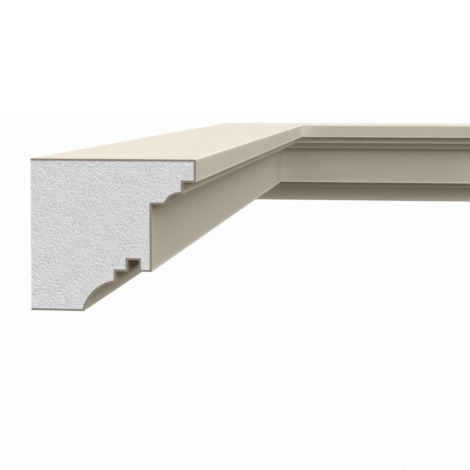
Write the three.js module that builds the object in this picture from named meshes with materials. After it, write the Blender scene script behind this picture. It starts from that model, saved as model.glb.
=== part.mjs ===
// Cornice moulding in coated foam: two lengths, mitred together where they meet at an inside corner.
//
// Every length is a bead-foam core with one continuous mineral coating over its top, its moulded
// front and its underside. The wall side and the cut ends are bare foam.
//
// A section is drawn with x as the distance out from the wall and y as the height above the underside.
// The finished part stands in its working position, +Z up. Its origin is the centre of the side
// length's wall face: -X points into the side wall and +Y points into the back wall.

import * as THREE from 'three';

// The run, in millimetres, measured along the walls from the inside corner to the square-cut ends.
const SIDE_LENGTH = 2040;
const BACK_LENGTH = 720;

// Section heights, from the top down.
const FASCIA_HEIGHT = 33;
const UPPER_FILLET_HEIGHT = 16.5;
const UPPER_COVE_HEIGHT = 15.5;
const FRIEZE_HEIGHT = 96.5;
const LOWER_FILLET_HEIGHT = 15.5;
const LOWER_COVE_HEIGHT = 43;

// Section depths, from the fascia back towards the wall. What is left behind them is the underside.
const OVERALL_PROJECTION = 241.5;
const FASCIA_OVERHANG = 18.5;
const UPPER_COVE_QUIRK = 4.5;
const FRIEZE_SOFFIT_DEPTH = 19.5;
const DRIP_LIP_THICKNESS = 19;
const DRIP_GROOVE_WIDTH = 16;
const LOWER_SOFFIT_DEPTH = 17.5;
const LOWER_COVE_DEPTH = 47;

// Height of the drip groove's roof above the frieze's bottom edge.
const DRIP_GROOVE_DEPTH = 16.5;

// Radii of the two hollow coves, on the coating's outer face.
const UPPER_COVE_RADIUS = 22.5;
const LOWER_COVE_RADIUS = 56;

// Build-up and joints.
const COATING_THICKNESS = 3.3;
const BOND_CLEARANCE = 0.3;
const MITRE_CLEARANCE = 0.3;

// Longest straight piece that stands for a stretch of a cove's arc.
const ARC_STEP = 3.5;

// Heights of the section's level lines above the underside.
const lowerFilletBottom = LOWER_COVE_HEIGHT;
const friezeBottom = lowerFilletBottom + LOWER_FILLET_HEIGHT;
const friezeTop = friezeBottom + FRIEZE_HEIGHT;
const upperFilletBottom = friezeTop + UPPER_COVE_HEIGHT;
const fasciaBottom = upperFilletBottom + UPPER_FILLET_HEIGHT;
const sectionHeight = fasciaBottom + FASCIA_HEIGHT;
const grooveTop = friezeBottom + DRIP_GROOVE_DEPTH;

// The upper cove leaves the underside of its fillet level and ends on the soffit over the frieze.
const upperFilletFace = OVERALL_PROJECTION - FASCIA_OVERHANG;
const upperCoveCentre = new THREE.Vector2(
  upperFilletFace - UPPER_COVE_QUIRK,
  upperFilletBottom - UPPER_COVE_RADIUS,
);
const upperCoveRun = Math.sqrt(
  UPPER_COVE_RADIUS ** 2 - (UPPER_COVE_RADIUS - UPPER_COVE_HEIGHT) ** 2,
);

// Distances of the lower upright faces from the wall.
const friezeFace = upperCoveCentre.x - upperCoveRun - FRIEZE_SOFFIT_DEPTH;
const grooveFront = friezeFace - DRIP_LIP_THICKNESS;
const grooveBack = grooveFront - DRIP_GROOVE_WIDTH;
const lowerFilletFace = grooveBack - LOWER_SOFFIT_DEPTH;

// The lower cove is struck between the lower fillet's bottom arris and the underside's front arris.
const lowerCoveCentre = centreBelowChord(
  new THREE.Vector2(lowerFilletFace - LOWER_COVE_DEPTH, 0),
  new THREE.Vector2(lowerFilletFace, lowerFilletBottom),
  LOWER_COVE_RADIUS,
);

// Centre of the circle through two points, on the lower outer side of the line from start to end.
function centreBelowChord(start, end, radius) {
  const chord = end.clone().sub(start);
  const distance = Math.sqrt(radius ** 2 - (chord.length() / 2) ** 2);
  const outwards = new THREE.Vector2(chord.y, -chord.x).normalize();
  return start.clone().add(end).multiplyScalar(0.5).addScaledVector(outwards, distance);
}

// Points along an arc, both ends included, from one angle to another in radians.
function arcPoints(centre, radius, startAngle, endAngle) {
  const steps = Math.ceil((radius * Math.abs(endAngle - startAngle)) / ARC_STEP);
  const points = [];
  for (let step = 0; step <= steps; step += 1) {
    const angle = startAngle + ((endAngle - startAngle) * step) / steps;
    points.push(new THREE.Vector2(
      centre.x + radius * Math.cos(angle),
      centre.y + radius * Math.sin(angle),
    ));
  }
  return points;
}

// The section's line from the top at the wall, down the moulded front, to the underside at the wall.
// It lies `inset` behind the finished face: 0 gives the coating's outer face.
function profileLine(inset) {
  const upperRadius = UPPER_COVE_RADIUS + inset;
  const lowerRadius = LOWER_COVE_RADIUS + inset;
  const upperCoveEnd = Math.PI - Math.asin((friezeTop + inset - upperCoveCentre.y) / upperRadius);
  const lowerCoveStart = Math.acos((lowerFilletFace - inset - lowerCoveCentre.x) / lowerRadius);
  const lowerCoveEnd = Math.PI - Math.asin((inset - lowerCoveCentre.y) / lowerRadius);
  const corner = (x, y) => new THREE.Vector2(x, y);
  return [
    corner(0, sectionHeight - inset),
    corner(OVERALL_PROJECTION - inset, sectionHeight - inset),
    corner(OVERALL_PROJECTION - inset, fasciaBottom + inset),
    corner(upperFilletFace - inset, fasciaBottom + inset),
    corner(upperFilletFace - inset, upperFilletBottom + inset),
    ...arcPoints(upperCoveCentre, upperRadius, Math.PI / 2, upperCoveEnd),
    corner(friezeFace - inset, friezeTop + inset),
    corner(friezeFace - inset, friezeBottom + inset),
    corner(grooveFront + inset, friezeBottom + inset),
    corner(grooveFront + inset, grooveTop + inset),
    corner(grooveBack - inset, grooveTop + inset),
    corner(grooveBack - inset, friezeBottom + inset),
    corner(lowerFilletFace - inset, friezeBottom + inset),
    ...arcPoints(lowerCoveCentre, lowerRadius, lowerCoveStart, lowerCoveEnd),
    corner(0, inset),
  ];
}

// Closed outlines of the two pieces in a section.
function coreOutline() {
  return profileLine(COATING_THICKNESS + BOND_CLEARANCE);
}

function coatingOutline() {
  return [...profileLine(0), ...profileLine(COATING_THICKNESS).reverse()];
}

// Extrudes a section along a length: z runs from the mitre at the corner to the square-cut end.
// `hand` is 1, or -1 for the length that runs the other way and so has its section turned over.
function lengthGeometry(outline, length, hand) {
  const shape = new THREE.Shape(outline.map((point) => new THREE.Vector2(hand * point.x, point.y)));
  const geometry = new THREE.ExtrudeGeometry(shape, { depth: length, bevelEnabled: false });
  const mitreSetback = MITRE_CLEARANCE / Math.SQRT2;
  const position = geometry.getAttribute('position');
  for (let index = 0; index < position.count; index += 1) {
    if (position.getZ(index) < length / 2) {
      position.setZ(index, Math.abs(position.getX(index)) + mitreSetback);
    }
  }
  geometry.computeVertexNormals();
  return geometry;
}

const foamMaterial = new THREE.MeshStandardMaterial({ color: 0xf1f2f3, roughness: 0.95, metalness: 0 });
const coatingMaterial = new THREE.MeshStandardMaterial({ color: 0xcfc6b4, roughness: 0.85, metalness: 0 });

function namedPiece(name, outline, length, hand, material) {
  const piece = new THREE.Mesh(lengthGeometry(outline, length, hand), material);
  piece.name = name;
  return piece;
}

function mouldingLength(prefix, length, hand) {
  const group = new THREE.Group();
  group.add(namedPiece(`${prefix}_foam_core`, coreOutline(), length, hand, foamMaterial));
  group.add(namedPiece(`${prefix}_coating`, coatingOutline(), length, hand, coatingMaterial));
  return group;
}

// Both lengths start in the inside corner, at half the side length along the side wall.
const cornice = new THREE.Group();
const cornerPlace = new THREE.Vector3(0, SIDE_LENGTH / 2, -sectionHeight / 2);

// The side length runs from the corner along -Y.
const sideLength = mouldingLength('side_length', SIDE_LENGTH, 1);
sideLength.rotation.x = Math.PI / 2;
sideLength.position.copy(cornerPlace);
cornice.add(sideLength);

// The back length runs from the corner along +X.
const backLength = mouldingLength('back_length', BACK_LENGTH, -1);
backLength.setRotationFromMatrix(new THREE.Matrix4().makeBasis(
  new THREE.Vector3(0, 1, 0),
  new THREE.Vector3(0, 0, 1),
  new THREE.Vector3(1, 0, 0),
));
backLength.position.copy(cornerPlace);
cornice.add(backLength);

export default cornice;
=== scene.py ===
"""Looks of a cornice in coated foam: two lengths, mitred together at an inside corner."""

import math
import random

import bmesh
import bpy
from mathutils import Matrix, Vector, kdtree, noise
from mathutils.geometry import delaunay_2d_cdt


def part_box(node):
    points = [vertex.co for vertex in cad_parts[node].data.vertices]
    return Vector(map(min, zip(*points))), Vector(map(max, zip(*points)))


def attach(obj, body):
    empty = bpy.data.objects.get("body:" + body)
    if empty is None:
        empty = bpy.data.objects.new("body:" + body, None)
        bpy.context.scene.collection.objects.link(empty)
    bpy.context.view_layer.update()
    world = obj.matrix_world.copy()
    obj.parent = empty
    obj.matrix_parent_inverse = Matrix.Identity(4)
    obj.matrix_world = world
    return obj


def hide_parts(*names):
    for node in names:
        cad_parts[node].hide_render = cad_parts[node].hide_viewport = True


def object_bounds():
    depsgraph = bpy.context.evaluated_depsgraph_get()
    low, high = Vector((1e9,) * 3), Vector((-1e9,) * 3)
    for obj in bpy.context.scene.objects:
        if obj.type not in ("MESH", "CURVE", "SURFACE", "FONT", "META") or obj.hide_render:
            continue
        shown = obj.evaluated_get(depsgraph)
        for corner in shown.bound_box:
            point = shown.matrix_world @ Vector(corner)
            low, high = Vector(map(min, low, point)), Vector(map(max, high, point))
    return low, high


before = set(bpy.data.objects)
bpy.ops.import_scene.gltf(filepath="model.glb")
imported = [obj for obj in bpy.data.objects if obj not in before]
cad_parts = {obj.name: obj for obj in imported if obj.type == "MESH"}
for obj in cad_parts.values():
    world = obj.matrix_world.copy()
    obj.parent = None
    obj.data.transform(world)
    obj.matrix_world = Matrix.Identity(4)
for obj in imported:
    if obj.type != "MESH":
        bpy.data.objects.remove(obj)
cad_low, cad_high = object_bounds()

MM = 0.001

# Points nearer than the first are one point. Lines are parallel if their cross product is smaller than
# the second.
SAME_POINT = 0.01 * MM
PARALLEL = 1e-12

# The inside corner of the walls at the underside's level, and how far each length runs from it.
corner = Vector((cad_low.x, cad_high.y, cad_low.z))
SIDE_RUN = cad_high.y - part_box("side_length_coating")[0].y
BACK_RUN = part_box("back_length_coating")[1].x - cad_low.x
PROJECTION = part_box("side_length_coating")[1].x - cad_low.x

# The photograph: its width, and the camera that fits it, measured from the side length's cut end.
# Its upright edges stay upright, so the camera looks down little and its frame is shifted down. The
# camera sees well past the studio's backdrop.
PHOTO_WIDTH_PX = 470
FOCAL_LENGTH_PX = 1325.5
SENSOR_WIDTH_MM = 36
FRAME_SHIFTED_DOWN_PX = 85
CAMERA_FROM_SIDE_WALL = 545.8 * MM
CAMERA_BEFORE_CUT_END = 1849.5 * MM
CAMERA_ABOVE_UNDERSIDE = 319.2 * MM
CAMERA_TURN_LEFT = math.radians(7.654)
CAMERA_LOOK_DOWN = math.radians(2.622)
CAMERA_SEES_TO = 400

# How the coating is laid: corners that turn further than a cove's steps are rounded, and a guard point
# beyond each rounded arris keeps the shading of the faces flat. The faces have slight hollows, as render
# that is drawn on has. Edges that turn further than the last value are shaded sharp.
ROUNDED_FROM = math.radians(25)
ARRIS_RADIUS = 1.0 * MM
INNER_CORNER_RADIUS = 0.8 * MM
ARRIS_STEPS = 4
ARRIS_GUARD = 0.6 * MM
PROFILE_STEP = 5 * MM
RUN_STEP = 24 * MM
HOLLOW_DEPTH = 0.25 * MM
HOLLOW_SPACING = 110 * MM
SHADED_SHARP_FROM = math.radians(40)

# The filled joint over the mitre: how far a painted pale band, standing in for light reflected into the
# inside corner, reaches from it, the share of that band on faces that look up, how far the filling
# levels the hollows, and the hairline that it has drawn down into. The rings of points lie close
# together there, and then turn from the mitre to square in a few steps.
CORNER_LIGHT_REACH = 80 * MM
CORNER_LIGHT_ON_TOP = 0.3
JOINT_CALM = 56 * MM
JOINT_HAIRLINE_WIDTH = 1.6 * MM
JOINT_HAIRLINE_DEPTH = 0.7 * MM
JOINT_OFFSETS = [offset * MM for offset in (0, 0.8, 1.6, 3, 6, 10, 16, 24, 36, 50, 65, 80)]
TURNING_STEPS = 5

# Painted highlight on the arrises: how far it fades out over their faces, how far it does at the foot,
# where it is painted as light over a wide band, and the highlight of the highest arris as a share of the
# lowest. The points of one arris lie nearer together than the last value.
EDGE_HIGHLIGHT_REACH = 7 * MM
FOOT_HIGHLIGHT_REACH = 28 * MM
LEAST_HIGHLIGHT = 0.5
ONE_ARRIS = 2 * ARRIS_RADIUS

# Painted shade in recesses: how near another face has to be to shade a place, how finely that is looked
# for and from how far off the face, how dark the shade is painted, how tightly it gathers in the
# corners, and the most there is. Then the painted shade on faces that look down, the height below which
# both fade, and the share of them left at the foot.
SHADE_REACH = 90 * MM
SHADE_DIRECTIONS = 32
OFF_THE_FACE = 2 * SAME_POINT
SHADE_AMOUNT = 2.6
SHADE_GATHERING = 1.5
DARKEST_SHADE = 0.52
SHADE_UNDERNEATH = 0.5
SHADE_FADES_BELOW = 44 * MM
SHADE_LEFT_AT_FOOT = 0.3

# The foam's beads: their size, how far out of an even pattern each may lie, as a share of the size, and
# how many layers of them and rows beyond the outline are looked at. Then how the cut goes through them:
# the seams between them, how far behind the cut a bead may lie, and how far it may lean.
BEAD_SIZE = 3.6 * MM
BEAD_SPREAD = 0.42
BEAD_LAYERS = 3
ROWS_BEYOND = 1
SEAM_WIDTH = 0.55 * MM
SEAM_DEPTH = 0.34 * MM
BEAD_LEVEL = 0.16 * MM
BEAD_TILT = 0.09

# The cut's mesh: points in rows, a step apart, with the rows nearer together so that the triangles are
# even. Each point is a little out of place, and clear of the outline, which has a step of its own. Then
# how near the triangulation takes points as one, and its number for filling only the outline.
CUT_MESH_STEP = 1.05 * MM
CUT_ROW_RATIO = 0.866
CUT_MESH_SPREAD = 0.15
CUT_MESH_CLEARANCE = 0.6 * CUT_MESH_STEP
CUT_RING_STEP = 1.6 * MM
SAME_CUT_POINT = SAME_POINT / 10
TRIANGLES_INSIDE = 1

# The number of a piece's second material: the coating's sawn edge, and the foam left by the hot wire.
SAWN_EDGE = 1
HOT_WIRE_FACE = 1

# The inputs and outputs that Blender's mix node has by number only, for colours and for plain numbers.
SHARE = 0
COLOUR_A = 6
COLOUR_B = 7
MIXED_COLOUR = 2
NUMBER_A = 2
NUMBER_B = 3
MIXED_NUMBER = 0


def side_place(depth, height, along):
    """A point of the side length: depth off the wall, height over the underside, along the run."""
    return corner + Vector((depth, -along, height))


def back_place(depth, height, along):
    """The same for the back length."""
    return corner + Vector((along, -depth, height))


def cut_end_outline(node_name):
    """Corner points (depth, height) in order round the square-cut end of a side length's piece."""
    solid = bmesh.new()
    solid.from_mesh(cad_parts[node_name].data)
    bmesh.ops.remove_doubles(solid, verts=solid.verts, dist=SAME_POINT)
    solid.verts.index_update()
    solid.faces.index_update()
    end_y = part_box(node_name)[0].y
    on_end = {f.index for f in solid.faces if all(abs(v.co.y - end_y) < SAME_POINT for v in f.verts)}
    neighbours = {}
    for edge in solid.edges:
        if sum(face.index in on_end for face in edge.link_faces) == 1:
            first, second = (vert.index for vert in edge.verts)
            neighbours.setdefault(first, []).append(second)
            neighbours.setdefault(second, []).append(first)
    start = min(neighbours)
    ring = [start, neighbours[start][0]]
    while ring[-1] != start:
        first, second = neighbours[ring[-1]]
        ring.append(second if first == ring[-2] else first)
    solid.verts.ensure_lookup_table()
    places = [solid.verts[i].co for i in ring[:-1]]
    points = [Vector((place.x - corner.x, place.z - corner.z)) for place in places]
    solid.free()
    return points


def at_wall(ring):
    """The numbers of an outline's points that lie on the wall."""
    return [i for i, point in enumerate(ring) if point.x < SAME_POINT]


def coating_lines():
    """The coating's outer and inner lines, each from the wall at the top to the wall at the foot."""
    ring = cut_end_outline("side_length_coating")
    top = max(at_wall(ring), key=lambda i: ring[i].y)
    ring = ring[top:] + ring[:top]
    if ring[1].x < SAME_POINT:
        ring = ring[:1] + ring[:0:-1]
    underside = min(at_wall(ring), key=lambda i: ring[i].y)
    return ring[:underside + 1], ring[:underside:-1]


def turn(before, here, after):
    """The change of direction at a point, in radians, positive to the left."""
    first = here - before
    second = after - here
    return math.atan2(first.x * second.y - first.y * second.x, first.dot(second))


def softened(line):
    """The line with its corners rounded, as pairs of a point and 1 on a projecting arris, else 0."""
    result = [(line[0], 0.0)]
    for before, here, after in zip(line, line[1:], line[2:]):
        angle = turn(before, here, after)
        if abs(angle) < ROUNDED_FROM:
            result.append((here, 0.0))
            continue
        projecting = angle < 0
        radius = ARRIS_RADIUS if projecting else INNER_CORNER_RADIUS
        back = (before - here).normalized()
        onward = (after - here).normalized()
        reach = radius * math.tan(abs(angle) / 2)
        first = here + back * reach
        last = here + onward * reach
        if projecting:
            result.append((first + back * ARRIS_GUARD, 0.0))
        for step in range(ARRIS_STEPS + 1):
            share = step / ARRIS_STEPS
            inner = first.lerp(here, share)
            outer = here.lerp(last, share)
            result.append((inner.lerp(outer, share), 1.0 if projecting else 0.0))
        if projecting:
            result.append((last + onward * ARRIS_GUARD, 0.0))
    result.append((line[-1], 0.0))
    return result


def with_steps(line, longest):
    """The line of (point, value) pairs with its long straight stretches divided."""
    result = [line[0]]
    for (start, start_value), (end, end_value) in zip(line, line[1:]):
        count = max(1, math.ceil((end - start).length / longest))
        for step in range(1, count + 1):
            share = step / count
            result.append((start.lerp(end, share), start_value + (end_value - start_value) * share))
    return result


def outward_normals(points):
    """Directions out of the material at the points of an outer line."""
    normals = []
    for i in range(len(points)):
        along = points[min(i + 1, len(points) - 1)] - points[max(i - 1, 0)]
        normals.append(Vector((-along.y, along.x)).normalized())
    return normals


def edge_highlight_values(outer):
    """How pale each point of an outer line is painted as a highlight: most on the low arrises, and
    widest at the foot, where it stands in for light from below.
    """
    travelled = [0.0]
    for (before, _), (here, _) in zip(outer, outer[1:]):
        travelled.append(travelled[-1] + (here - before).length)
    arrises = [distance for distance, (_, on_arris) in zip(travelled, outer) if on_arris == 1.0]
    top = outer[0][0].y
    values = []
    for here, (point, _) in zip(travelled, outer):
        nearest = min(arrises, key=lambda there: abs(here - there))
        reach = FOOT_HIGHLIGHT_REACH if arrises[-1] - nearest < ONE_ARRIS else EDGE_HIGHLIGHT_REACH
        lowness = 1 - point.y / top
        fading = max(0.0, 1 - abs(here - nearest) / reach) ** 2
        values.append((LEAST_HIGHLIGHT + (1 - LEAST_HIGHLIGHT) * lowness) * fading)
    return values


def distance_to_line(start, direction, line):
    """How far a straight look from a point goes before it meets the line, within the painted shade's
    reach.
    """
    nearest = SHADE_REACH
    for a, b in zip(line, line[1:]):
        stretch = b - a
        across = direction.x * stretch.y - direction.y * stretch.x
        if abs(across) < PARALLEL:
            continue
        gap = a - start
        distance = (gap.x * stretch.y - gap.y * stretch.x) / across
        share = (gap.x * direction.y - gap.y * direction.x) / across
        if SAME_POINT < distance < nearest and 0 <= share <= 1:
            nearest = distance
    return nearest


def painted_shade_values(points, normals):
    """How much painted shade each point of an outer line gets: 0 in the open, the most deep in a recess.
    """
    angles = [math.pi * ((step + 0.5) / SHADE_DIRECTIONS - 0.5) for step in range(SHADE_DIRECTIONS)]
    most = sum(math.cos(angle) for angle in angles)
    values = []
    for point, normal in zip(points, normals):
        start = point + normal * OFF_THE_FACE
        blocked = 0.0
        for angle in angles:
            direction = Vector((
                normal.x * math.cos(angle) - normal.y * math.sin(angle),
                normal.x * math.sin(angle) + normal.y * math.cos(angle),
            ))
            nearness = 1 - distance_to_line(start, direction, points) / SHADE_REACH
            blocked += nearness * math.cos(angle)
        # Painted shade grows with how much of the view nearby faces block. It is added on faces that
        # look down and fades towards the foot.
        recess_shade = SHADE_AMOUNT * (blocked / most) ** SHADE_GATHERING
        underside_shade = SHADE_UNDERNEATH * max(0.0, -normal.y)
        shade_kept = SHADE_LEFT_AT_FOOT + (1 - SHADE_LEFT_AT_FOOT) * min(1.0, point.y / SHADE_FADES_BELOW) ** 2
        values.append(min(DARKEST_SHADE, (recess_shade + underside_shade) * shade_kept))
    return values


def run_stations(run):
    """How far each ring of a coating lies along the run, as functions of the depth off the wall."""
    first_square = PROJECTION + JOINT_OFFSETS[-1]
    square_count = math.ceil((run - first_square) / RUN_STEP)
    near_joint = [lambda depth, offset=offset: depth + offset for offset in JOINT_OFFSETS]
    turning = [
        lambda depth, share=step / TURNING_STEPS: (
            (depth + JOINT_OFFSETS[-1]) * (1 - share) + first_square * share
        )
        for step in range(1, TURNING_STEPS)
    ]
    squares = [
        lambda depth, along=first_square + (run - first_square) * step / square_count: along
        for step in range(square_count + 1)
    ]
    return near_joint + turning + squares


def linked_object(name, mesh_data):
    piece = bpy.data.objects.new(name, mesh_data)
    bpy.context.scene.collection.objects.link(piece)
    return piece


class CoatingSection:
    """The coating's closed section: its seen faces first, then the inner line against the foam."""

    def __init__(self):
        outer = with_steps(softened(outer_line), PROFILE_STEP)
        seen = [point for point, _ in outer]
        unseen = [0.0] * len(inner_line)
        self.points = seen + inner_line[::-1]
        self.normals = outward_normals(seen)
        # Painted shade: recesses and faces that look down are painted darker, by how near other faces
        # lie.
        painted_shade = painted_shade_values(seen, self.normals)
        self.painted_shade = painted_shade + unseen
        # An arris that lies in painted shade gets less painted highlight.
        self.edge_highlight = [
            highlight * math.sqrt(1 - shade / DARKEST_SHADE) for highlight, shade in zip(edge_highlight_values(outer), painted_shade)
        ] + unseen
        # Painted light: a pale band near the inside corner, less on faces that look up.
        self.corner_light = [
            1 - (1 - CORNER_LIGHT_ON_TOP) * max(0.0, normal.y) for normal in self.normals
        ] + unseen
        self.distances = [0.0]
        for before, here in zip(self.points, self.points[1:]):
            self.distances.append(self.distances[-1] + (here - before).length)

    def laid(self, i, spot, off_joint):
        """Point i as laid at a spot of the run: a seen face has hollows, and sinks into the hairline."""
        if i >= len(self.normals):
            return self.points[i]
        swell = 0.5 + 0.5 * noise.noise(spot / HOLLOW_SPACING)
        calm = min(1.0, off_joint / JOINT_CALM)
        drawn = max(0.0, 1 - off_joint / JOINT_HAIRLINE_WIDTH)
        depth = HOLLOW_DEPTH * swell * calm + JOINT_HAIRLINE_DEPTH * drawn
        return self.points[i] - self.normals[i] * depth


def coating_rings(shell, section, place, run):
    """The shell's points, ring by ring along the run, each as a pair with its distance along."""
    edge_highlight_layer = shell.verts.layers.float.new("edge_highlight")
    painted_shade_layer = shell.verts.layers.float.new("painted_shade")
    corner_light_layer = shell.verts.layers.float.new("painted_corner_light")
    rings = []
    for station in run_stations(run):
        ring = []
        for i, point in enumerate(section.points):
            off_joint = station(point.x) - point.x
            spot = place(point.x, point.y, station(point.x))
            sunk = section.laid(i, spot, off_joint)
            along = station(sunk.x)
            vert = shell.verts.new(place(sunk.x, sunk.y, along))
            # Each point carries its painted highlight, painted shade and painted corner light.
            vert[edge_highlight_layer] = section.edge_highlight[i]
            vert[painted_shade_layer] = section.painted_shade[i]
            vert[corner_light_layer] = section.corner_light[i] * max(0.0, 1 - off_joint / CORNER_LIGHT_REACH) ** 2
            ring.append((vert, along))
        rings.append(ring)
    return rings


def skin_rings(shell, section, rings):
    """Faces between the rings, unrolled by their distances along the run and round the section."""
    uv_layer = shell.loops.layers.uv.new("run_and_profile")
    count = len(section.points)
    for ring, next_ring in zip(rings, rings[1:]):
        for i in range(count):
            j = (i + 1) % count
            corners = [ring[i], ring[j], next_ring[j], next_ring[i]]
            face = shell.faces.new([vert for vert, _ in corners])
            face.smooth = True
            start = section.distances[i]
            end = start + (section.points[j] - section.points[i]).length
            for loop, (_, along), distance in zip(face.loops, corners, (start, end, end, start)):
                loop[uv_layer].uv = (along, distance)


def make_coating(name, place, run):
    """The coating of one length: a thin shell swept along the run and closed at both its ends."""
    section = CoatingSection()
    shell = bmesh.new()
    rings = coating_rings(shell, section, place, run)
    skin_rings(shell, section, rings)
    mitre_cap = shell.faces.new([vert for vert, _ in rings[0]])
    cut_cap = shell.faces.new([vert for vert, _ in rings[-1]])
    cut_cap.material_index = SAWN_EDGE
    shell.normal_update()
    bmesh.ops.triangulate(shell, faces=[mitre_cap, cut_cap])
    bmesh.ops.recalc_face_normals(shell, faces=shell.faces)
    for edge in shell.edges:
        if len(edge.link_faces) == 2 and edge.calc_face_angle() > SHADED_SHARP_FROM:
            edge.smooth = False
    mesh_data = bpy.data.meshes.new(name)
    shell.to_mesh(mesh_data)
    shell.free()
    mesh_data.materials.append(coating_material)
    mesh_data.materials.append(coating_edge_material)
    return linked_object(name, mesh_data)


class BeadPattern:
    """Foam beads packed round a cut: which bead a point of the cut is in, and how it lies there."""

    def __init__(self, width, height, seed):
        draw = random.Random(seed)
        rows = range(-ROWS_BEYOND, math.ceil(height / BEAD_SIZE) + ROWS_BEYOND + 1)
        columns = range(-ROWS_BEYOND, math.ceil(width / BEAD_SIZE) + ROWS_BEYOND + 1)
        self.centres = []
        for layer in range(BEAD_LAYERS):
            for row in rows:
                for column in columns:
                    even = Vector((column + (row + layer) % 2 / 2, row, layer - (BEAD_LAYERS - 1) / 2))
                    moved = [axis + draw.uniform(-BEAD_SPREAD, BEAD_SPREAD) for axis in even]
                    self.centres.append(Vector(moved) * BEAD_SIZE)
        self.tree = kdtree.KDTree(len(self.centres))
        for i, centre in enumerate(self.centres):
            self.tree.insert(centre, i)
        self.tree.balance()
        self.tone = [draw.uniform(-1, 1) for _ in self.centres]
        self.level = [draw.uniform(0, 1) for _ in self.centres]
        self.lean = [(draw.gauss(0, BEAD_TILT), draw.gauss(0, BEAD_TILT)) for _ in self.centres]

    def at(self, point):
        """(how far the surface lies behind the cut plane, how much it is a seam, the bead's tone)."""
        spot = Vector((point.x, point.y, 0))
        (first, i, near), (second, _, far) = self.tree.find_n(spot, 2)
        to_seam = (far * far - near * near) / (2 * (second - first).length)
        seam = math.exp(-((to_seam / SEAM_WIDTH) ** 2))
        lean = self.lean[i][0] * (point.x - first.x) + self.lean[i][1] * (point.y - first.y)
        depth = BEAD_LEVEL * self.level[i] + SEAM_DEPTH * seam + lean
        return max(0.0, depth), seam, self.tone[i]


def cut_ring():
    """The foam's outline at a cut, closed along the wall, with points close together."""
    closed = [(point, 0.0) for point in inner_line + inner_line[:1]]
    return [point for point, _ in with_steps(closed, CUT_RING_STEP)][:-1]


def inside(point, ring):
    """Whether a point is inside a closed outline."""
    found = False
    for a, b in zip(ring, ring[1:] + ring[:1]):
        if (a.y > point.y) != (b.y > point.y):
            if point.x < a.x + (b.x - a.x) * (point.y - a.y) / (b.y - a.y):
                found = not found
    return found


def clear_of_line(point, ring_tree):
    """Whether a point is far enough from the outline for well-shaped triangles."""
    _, _, distance = ring_tree.find(Vector((point.x, point.y, 0)))
    return distance > CUT_MESH_CLEARANCE


def cut_points(ring, seed):
    """Points spread evenly over the inside of the foam's outline."""
    draw = random.Random(seed)
    ring_tree = kdtree.KDTree(len(ring))
    for i, point in enumerate(ring):
        ring_tree.insert(Vector((point.x, point.y, 0)), i)
    ring_tree.balance()
    width = max(point.x for point in ring)
    height = max(point.y for point in ring)
    points = []
    for row in range(1, int(height / (CUT_MESH_STEP * CUT_ROW_RATIO))):
        for column in range(int(width / CUT_MESH_STEP) + 1):
            across = column + row % 2 / 2 + draw.uniform(-CUT_MESH_SPREAD, CUT_MESH_SPREAD)
            up = row + draw.uniform(-CUT_MESH_SPREAD, CUT_MESH_SPREAD)
            point = Vector((across * CUT_MESH_STEP, up * CUT_MESH_STEP * CUT_ROW_RATIO))
            if inside(point, inner_line) and clear_of_line(point, ring_tree):
                points.append(point)
    return points


def make_core(name, place, run, seed):
    """The foam core of one length, with beads modelled where its end is cut square."""
    ring = cut_ring()
    count = len(ring)
    flat_points = ring + cut_points(ring, seed)
    outline = [(i, (i + 1) % count) for i in range(count)]
    points, _, triangles, *_ = delaunay_2d_cdt(
        flat_points, outline, [], TRIANGLES_INSIDE, SAME_CUT_POINT,
    )
    beads = BeadPattern(PROJECTION, cad_high.z - cad_low.z, seed)

    core = bmesh.new()
    seam_layer = core.verts.layers.float.new("bead_seam")
    tone_layer = core.verts.layers.float.new("bead_tone")
    cut_verts = []
    for i, point in enumerate(points):
        depth, seam, tone = beads.at(point)
        vert = core.verts.new(place(point.x, point.y, run - (0 if i < count else depth)))
        vert[seam_layer] = seam
        vert[tone_layer] = tone
        cut_verts.append(vert)
    for triangle in triangles:
        face = core.faces.new([cut_verts[i] for i in triangle])
        face.smooth = True
    mitre = [core.verts.new(place(point.x, point.y, point.x)) for point in ring]
    for i in range(count):
        j = (i + 1) % count
        face = core.faces.new([cut_verts[i], cut_verts[j], mitre[j], mitre[i]])
        face.material_index = HOT_WIRE_FACE
    mitre_cap = core.faces.new(mitre)
    mitre_cap.material_index = HOT_WIRE_FACE
    core.normal_update()
    bmesh.ops.triangulate(core, faces=[mitre_cap])
    bmesh.ops.recalc_face_normals(core, faces=core.faces)
    for edge in core.edges:
        if len({face.material_index for face in edge.link_faces}) == 2:
            edge.smooth = False
    mesh_data = bpy.data.meshes.new(name)
    core.to_mesh(mesh_data)
    core.free()
    mesh_data.materials.append(foam_cut_material)
    mesh_data.materials.append(foam_block_material)
    return linked_object(name, mesh_data)


def linear(hex_colour):
    """A linear colour from an sRGB hex value."""
    channels = [int(hex_colour[i:i + 2], 16) / 255 for i in (1, 3, 5)]
    return [c / 12.92 if c <= 0.04045 else ((c + 0.055) / 1.055) ** 2.4 for c in channels] + [1.0]


def add(tree, kind, inputs=None, **settings):
    """Adds a node. A value in inputs is a setting, or the output socket of the node that feeds it."""
    node = tree.nodes.new(kind)
    for name, value in settings.items():
        setattr(node, name, value)
    for socket, value in (inputs or {}).items():
        if isinstance(value, bpy.types.NodeSocket):
            tree.links.new(value, node.inputs[socket])
        else:
            node.inputs[socket].default_value = value
    return node


def new_material(name):
    """A material with no nodes yet, and its node tree."""
    material = bpy.data.materials.new(name)
    material.use_nodes = True
    tree = material.node_tree
    tree.nodes.clear()
    return material, tree


def finish_material(tree, shader):
    add(tree, "ShaderNodeOutputMaterial", {"Surface": shader.outputs["BSDF"]})


def per_metre(size):
    """How many times a pattern of this size repeats in a metre."""
    return 1 / size


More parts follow.
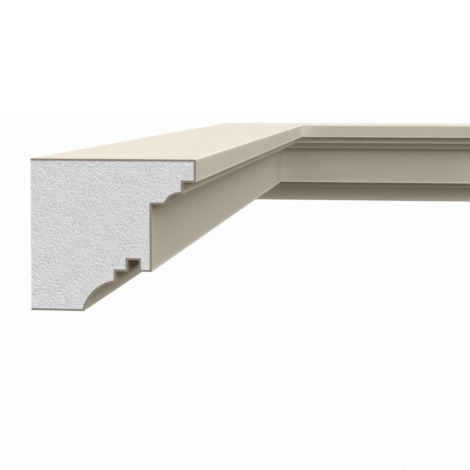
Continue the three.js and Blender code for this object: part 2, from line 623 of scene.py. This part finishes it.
def coating_finish():
    """Fine mineral render drawn on with a template and felted: matt, with a faint drag along the run."""
    material, tree = new_material("felted_mineral_render")
    spot = add(tree, "ShaderNodeTexCoord").outputs["Object"]
    run_uv = add(tree, "ShaderNodeUVMap", uv_map="run_and_profile").outputs["UV"]

    # Drying leaves broad pale and dark clouds.
    clouds = add(tree, "ShaderNodeTexNoise", {
        "Vector": spot, "Scale": per_metre(140 * MM), "Detail": 3.0, "Roughness": 0.55,
    })
    # The template drags grains along the run, so these streaks are long and a few millimetres apart.
    drag_space = add(tree, "ShaderNodeMapping", {
        "Vector": run_uv, "Scale": (per_metre(900 * MM), per_metre(5 * MM), 1),
    })
    drag = add(tree, "ShaderNodeTexNoise", {
        "Vector": drag_space.outputs["Vector"], "Scale": 1.0, "Detail": 2.0,
    }, noise_dimensions="2D")
    # Sand of 0.5 mm is drawn at 1.6 mm, so that it shows.
    sand = add(tree, "ShaderNodeTexNoise", {
        "Vector": spot, "Scale": per_metre(1.6 * MM), "Detail": 2.0, "Roughness": 0.6,
    })

    clouded = add(tree, "ShaderNodeMix", {
        SHARE: clouds.outputs["Fac"], COLOUR_A: linear("#C3BDAB"), COLOUR_B: linear("#CBC5B3"),
    }, data_type="RGBA").outputs[MIXED_COLOUR]
    dragged = add(tree, "ShaderNodeMix", {
        SHARE: drag.outputs["Fac"], COLOUR_A: linear("#FAF9F7"), COLOUR_B: linear("#FFFFFF"),
    }, data_type="RGBA").outputs[MIXED_COLOUR]
    streaked = add(tree, "ShaderNodeMix", {
        SHARE: 1.0, COLOUR_A: clouded, COLOUR_B: dragged,
    }, data_type="RGBA", blend_type="MULTIPLY").outputs[MIXED_COLOUR]
    # Painted highlight: the arrises are painted pale, the low ones most, and a wide pale band of painted
    # light lies over the foot.
    edge_highlight = add(tree, "ShaderNodeAttribute", attribute_name="edge_highlight").outputs["Fac"]
    highlighted = add(tree, "ShaderNodeMix", {
        SHARE: edge_highlight, COLOUR_A: streaked, COLOUR_B: linear("#E6DFD0"),
    }, data_type="RGBA").outputs[MIXED_COLOUR]
    # Painted light: a paler band over the mitre, thinning out over a hand's width, stands in for the
    # light reflected into the inside corner.
    corner_light_mask = add(tree, "ShaderNodeAttribute", attribute_name="painted_corner_light").outputs["Fac"]
    corner_lit = add(tree, "ShaderNodeMix", {
        SHARE: corner_light_mask, COLOUR_A: highlighted, COLOUR_B: linear("#DCD8CB"),
    }, data_type="RGBA").outputs[MIXED_COLOUR]
    # Painted shade: the recesses and the faces that look down are painted browner and darker, less so
    # towards the foot.
    painted_shade = add(tree, "ShaderNodeAttribute", attribute_name="painted_shade").outputs["Fac"]
    with_painted_shade = add(tree, "ShaderNodeMix", {
        SHARE: painted_shade, COLOUR_A: corner_lit, COLOUR_B: linear("#877650"),
    }, data_type="RGBA").outputs[MIXED_COLOUR]

    sand_bump = add(tree, "ShaderNodeBump", {
        "Height": sand.outputs["Fac"], "Strength": 0.35, "Distance": 0.25 * MM,
    })
    drag_bump = add(tree, "ShaderNodeBump", {
        "Height": drag.outputs["Fac"], "Strength": 0.25, "Distance": 0.2 * MM,
        "Normal": sand_bump.outputs["Normal"],
    })
    shader = add(tree, "ShaderNodeBsdfPrincipled", {
        "Base Color": with_painted_shade, "Roughness": 0.86, "IOR": 1.5,
        "Normal": drag_bump.outputs["Normal"],
    })
    finish_material(tree, shader)
    return material


def coating_edge_finish():
    """The render's raw section at a saw cut: grey-brown mortar with pale sand, rougher than the face."""
    material, tree = new_material("sawn_render_edge")
    spot = add(tree, "ShaderNodeTexCoord").outputs["Object"]
    # Sand of 0.5 mm is drawn at 1.2 mm, so that it shows.
    sand = add(tree, "ShaderNodeTexNoise", {
        "Vector": spot, "Scale": per_metre(1.2 * MM), "Detail": 3.0, "Roughness": 0.7,
    })
    mortar = add(tree, "ShaderNodeMix", {
        SHARE: sand.outputs["Fac"], COLOUR_A: linear("#8D8578"), COLOUR_B: linear("#A29A8B"),
    }, data_type="RGBA").outputs[MIXED_COLOUR]
    bump = add(tree, "ShaderNodeBump", {
        "Height": sand.outputs["Fac"], "Strength": 0.6, "Distance": 0.3 * MM,
    })
    shader = add(tree, "ShaderNodeBsdfPrincipled", {
        "Base Color": mortar, "Roughness": 0.95, "IOR": 1.5,
        "Normal": bump.outputs["Normal"],
    })
    finish_material(tree, shader)
    return material


def foam_cut_finish():
    """Expanded polystyrene sawn across its beads: white, matt, with grey seams between the beads."""
    material, tree = new_material("sawn_bead_foam")
    spot = add(tree, "ShaderNodeTexCoord").outputs["Object"]
    seam = add(tree, "ShaderNodeAttribute", attribute_name="bead_seam").outputs["Fac"]
    tone = add(tree, "ShaderNodeAttribute", attribute_name="bead_tone").outputs["Fac"]
    toned = add(tree, "ShaderNodeMapRange", {
        "Value": tone, "From Min": -1.0, "From Max": 1.0, "To Min": 0.0, "To Max": 1.0,
    })
    bead = add(tree, "ShaderNodeMix", {
        SHARE: toned.outputs["Result"], COLOUR_A: linear("#F1F1F1"), COLOUR_B: linear("#FCFCFC"),
    }, data_type="RGBA").outputs[MIXED_COLOUR]
    seamed = add(tree, "ShaderNodeMix", {
        SHARE: seam, COLOUR_A: bead, COLOUR_B: linear("#DFDFDF"),
    }, data_type="RGBA").outputs[MIXED_COLOUR]
    # The walls of the cells inside a bead are 0.1 mm apart; they are drawn at 0.9 mm to show.
    cells = add(tree, "ShaderNodeTexVoronoi", {"Vector": spot, "Scale": per_metre(0.9 * MM)})
    bump = add(tree, "ShaderNodeBump", {
        "Height": cells.outputs["Distance"], "Strength": 0.3, "Distance": 0.15 * MM,
    })
    shader = add(tree, "ShaderNodeBsdfPrincipled", {
        "Base Color": seamed, "Roughness": 0.8, "IOR": 1.45,
        "Normal": bump.outputs["Normal"],
    })
    finish_material(tree, shader)
    return material


def foam_block_finish():
    """Expanded polystyrene left by the hot wire: smooth beads with fine seams between them."""
    material, tree = new_material("hot_wire_bead_foam")
    spot = add(tree, "ShaderNodeTexCoord").outputs["Object"]
    beads = add(tree, "ShaderNodeTexVoronoi", {
        "Vector": spot, "Scale": per_metre(BEAD_SIZE),
    })
    # A seam reaches an eighth of a bead to either side.
    to_seam = add(tree, "ShaderNodeTexVoronoi", {
        "Vector": spot, "Scale": per_metre(BEAD_SIZE),
    }, feature="DISTANCE_TO_EDGE").outputs["Distance"]
    seam = add(tree, "ShaderNodeMapRange", {
        "Value": to_seam, "From Min": 0.0, "From Max": 0.12, "To Min": 1.0, "To Max": 0.0,
    }).outputs["Result"]
    # The wire leaves faint bands across the block where it slowed.
    bands = add(tree, "ShaderNodeTexNoise", {
        "Vector": spot, "Scale": per_metre(60 * MM), "Detail": 2.0,
    })
    bead = add(tree, "ShaderNodeMix", {
        SHARE: beads.outputs["Color"], COLOUR_A: linear("#F1F1F1"), COLOUR_B: linear("#FAFAFA"),
    }, data_type="RGBA").outputs[MIXED_COLOUR]
    banded = add(tree, "ShaderNodeMix", {
        SHARE: bands.outputs["Fac"], COLOUR_A: linear("#F2F2F2"), COLOUR_B: linear("#FFFFFF"),
    }, data_type="RGBA").outputs[MIXED_COLOUR]
    tinted = add(tree, "ShaderNodeMix", {
        SHARE: 1.0, COLOUR_A: bead, COLOUR_B: banded,
    }, data_type="RGBA", blend_type="MULTIPLY").outputs[MIXED_COLOUR]
    seamed = add(tree, "ShaderNodeMix", {
        SHARE: seam, COLOUR_A: tinted, COLOUR_B: linear("#DADADA"),
    }, data_type="RGBA").outputs[MIXED_COLOUR]
    bump = add(tree, "ShaderNodeBump", {
        "Height": seam, "Strength": 0.5, "Distance": 0.3 * MM,
    }, invert=True)
    shader = add(tree, "ShaderNodeBsdfPrincipled", {
        "Base Color": seamed, "Roughness": 0.6, "IOR": 1.45,
        "Normal": bump.outputs["Normal"],
    })
    finish_material(tree, shader)
    return material


def make_camera():
    camera_data = bpy.data.cameras.new("photo_camera")
    camera_data.sensor_width = SENSOR_WIDTH_MM
    camera_data.lens = FOCAL_LENGTH_PX / PHOTO_WIDTH_PX * SENSOR_WIDTH_MM
    camera_data.shift_y = -FRAME_SHIFTED_DOWN_PX / PHOTO_WIDTH_PX
    camera_data.clip_end = CAMERA_SEES_TO
    camera = bpy.data.objects.new("photo_camera", camera_data)
    camera.location = side_place(
        CAMERA_FROM_SIDE_WALL, CAMERA_ABOVE_UNDERSIDE, SIDE_RUN + CAMERA_BEFORE_CUT_END,
    )
    camera.rotation_euler = (math.pi / 2 - CAMERA_LOOK_DOWN, 0, CAMERA_TURN_LEFT)
    bpy.context.scene.collection.objects.link(camera)
    bpy.context.scene.camera = camera


# The studio, in metres: a pale floor well below the cornice and a white backdrop far round it.
FLOOR_BELOW = 1.1
BACKDROP_RADIUS = 80
BACKDROP_HEIGHT = 38
BACKDROP_SIDES = 64

# One large soft light, by the height that it comes from: -1 is straight below, 0 level and 1 overhead.
# It is brightest overhead, fades smoothly to a dim room underneath, and comes back a little from the
# floor. The last value is the brightest and stands by itself.
SKY_BY_HEIGHT = {
    -1.0: 0.8,
    -0.85: 0.42,
    -0.4: 0.30,
    -0.2: 0.29,
    -0.08: 0.34,
    0.0: 0.52,
    0.12: 0.78,
    0.3: 0.92,
    0.6: 1.22,
    0.8: 2.2,
}
SKY_BRIGHTEST = 3.7

# Above, the light is fuller from the front right, so that it reaches into the corner, and as full from
# the opposite side, for the backs. Below, it is fuller from the front, and hardly from behind. The least
# and the fullest multiply its brightness. Between the two heights one of them turns into the other.
LIGHT_ABOVE_TURNED = math.radians(59)
LIGHT_ABOVE_RAISED = 0.17
LIGHT_ABOVE_FROM = Vector((
    math.sin(LIGHT_ABOVE_TURNED), -math.cos(LIGHT_ABOVE_TURNED), LIGHT_ABOVE_RAISED,
)).normalized()
LIGHT_ABOVE_LEAST = 0.5
LIGHT_ABOVE_FULLEST = 1.88
LIGHT_ABOVE_OPPOSITE = 1.0
LIGHT_BELOW_FROM = Vector((0, -1, 0))
LIGHT_BELOW_LEAST = 0.3
LIGHT_BELOW_FULLEST = 2.35
LIGHT_BELOW_OPPOSITE = 0.2
HIGHEST_BELOW = -0.5
LOWEST_ABOVE = 0.0

# The light from below has the floor's warmth, and the light from above is cooler.
SKY_TINT_BELOW = (1.05, 1.00, 0.88, 1)
SKY_TINT_ABOVE = (0.985, 1.00, 1.10, 1)


def add_to_studio(name, points, faces, colour):
    """A plain piece of the studio, seen by the camera, that neither lights nor shades the cornice."""
    mesh_data = bpy.data.meshes.new(name)
    mesh_data.from_pydata(points, [], faces)
    piece = linked_object(name, mesh_data)
    material, tree = new_material(name + "_paint")
    glow = add(tree, "ShaderNodeEmission", {"Color": linear(colour)})
    add(tree, "ShaderNodeOutputMaterial", {"Surface": glow.outputs["Emission"]})
    mesh_data.materials.append(material)
    piece.visible_diffuse = False
    piece.visible_glossy = False
    piece.visible_shadow = False


def make_studio():
    level = cad_low.z - FLOOR_BELOW
    angles = [2 * math.pi * side / BACKDROP_SIDES for side in range(BACKDROP_SIDES)]
    rim = [(BACKDROP_RADIUS * math.cos(angle), BACKDROP_RADIUS * math.sin(angle)) for angle in angles]
    low = [(x, y, level) for x, y in rim]
    high = [(x, y, level + BACKDROP_HEIGHT) for x, y in rim]
    add_to_studio("floor", low, [range(BACKDROP_SIDES)], "#FDFDFD")
    panels = []
    for side in range(BACKDROP_SIDES):
        following = (side + 1) % BACKDROP_SIDES
        panels.append((side, following, BACKDROP_SIDES + following, BACKDROP_SIDES + side))
    add_to_studio("backdrop", low + high, panels, "#FFFFFF")


def fullness(tree, direction, fuller_from, least, fullest, opposite):
    """How full the light is by its direction: fullest from one side, and partly from its opposite."""
    facing = add(tree, "ShaderNodeVectorMath", {
        0: direction, 1: fuller_from,
    }, operation="DOT_PRODUCT").outputs["Value"]
    limited = add(tree, "ShaderNodeMath", {
        0: facing, 1: -opposite,
    }, operation="MAXIMUM").outputs["Value"]
    squared = add(tree, "ShaderNodeMath", {
        0: limited, 1: limited,
    }, operation="MULTIPLY").outputs["Value"]
    return add(tree, "ShaderNodeMapRange", {
        "Value": squared, "To Min": SKY_BRIGHTEST * least, "To Max": SKY_BRIGHTEST * fullest,
    }).outputs["Result"]


def make_sky():
    world = bpy.data.worlds.new("soft_studio")
    bpy.context.scene.world = world
    world.use_nodes = True
    tree = world.node_tree
    tree.nodes.clear()
    direction = add(tree, "ShaderNodeTexCoord").outputs["Generated"]
    height = add(tree, "ShaderNodeSeparateXYZ", {"Vector": direction}).outputs["Z"]
    share = add(tree, "ShaderNodeMapRange", {"Value": height, "From Min": -1.0, "From Max": 1.0})
    brightness = add(tree, "ShaderNodeValToRGB", {"Fac": share.outputs["Result"]})
    ramp = brightness.color_ramp
    ramp.elements[1].color = (1, 1, 1, 1)
    for at_height, level in SKY_BY_HEIGHT.items():
        stop = ramp.elements[0] if at_height == -1.0 else ramp.elements.new((at_height + 1) / 2)
        stop.color = (*[level / SKY_BRIGHTEST] * 3, 1)
    tint = add(tree, "ShaderNodeMix", {
        SHARE: share.outputs["Result"], COLOUR_A: SKY_TINT_BELOW, COLOUR_B: SKY_TINT_ABOVE,
    }, data_type="RGBA").outputs[MIXED_COLOUR]
    tinted = add(tree, "ShaderNodeMix", {
        SHARE: 1.0, COLOUR_A: brightness.outputs["Color"], COLOUR_B: tint,
    }, data_type="RGBA", blend_type="MULTIPLY").outputs[MIXED_COLOUR]
    raised = add(tree, "ShaderNodeMapRange", {
        "Value": height, "From Min": HIGHEST_BELOW, "From Max": LOWEST_ABOVE,
    })
    below = fullness(
        tree, direction, LIGHT_BELOW_FROM, LIGHT_BELOW_LEAST, LIGHT_BELOW_FULLEST, LIGHT_BELOW_OPPOSITE,
    )
    above = fullness(
        tree, direction, LIGHT_ABOVE_FROM, LIGHT_ABOVE_LEAST, LIGHT_ABOVE_FULLEST, LIGHT_ABOVE_OPPOSITE,
    )
    strength = add(tree, "ShaderNodeMix", {
        SHARE: raised.outputs["Result"], NUMBER_A: below, NUMBER_B: above,
    }).outputs[MIXED_NUMBER]
    background = add(tree, "ShaderNodeBackground", {
        "Color": tinted, "Strength": strength,
    })
    add(tree, "ShaderNodeOutputWorld", {"Surface": background.outputs["Background"]})


outer_line, inner_line = coating_lines()
coating_material = coating_finish()
coating_edge_material = coating_edge_finish()
foam_cut_material = foam_cut_finish()
foam_block_material = foam_block_finish()

make_camera()
make_studio()
make_sky()
bpy.context.scene.view_settings.view_transform = "Standard"

for length_name, place, run, seed in (
    ("side_length", side_place, SIDE_RUN, 11),
    ("back_length", back_place, BACK_RUN, 12),
):
    core = make_core(length_name + "_foam", place, run, seed)
    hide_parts(length_name + "_foam_core")
    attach(core, "root")
    coating = make_coating(length_name + "_render", place, run)
    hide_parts(length_name + "_coating")
    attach(coating, "root")
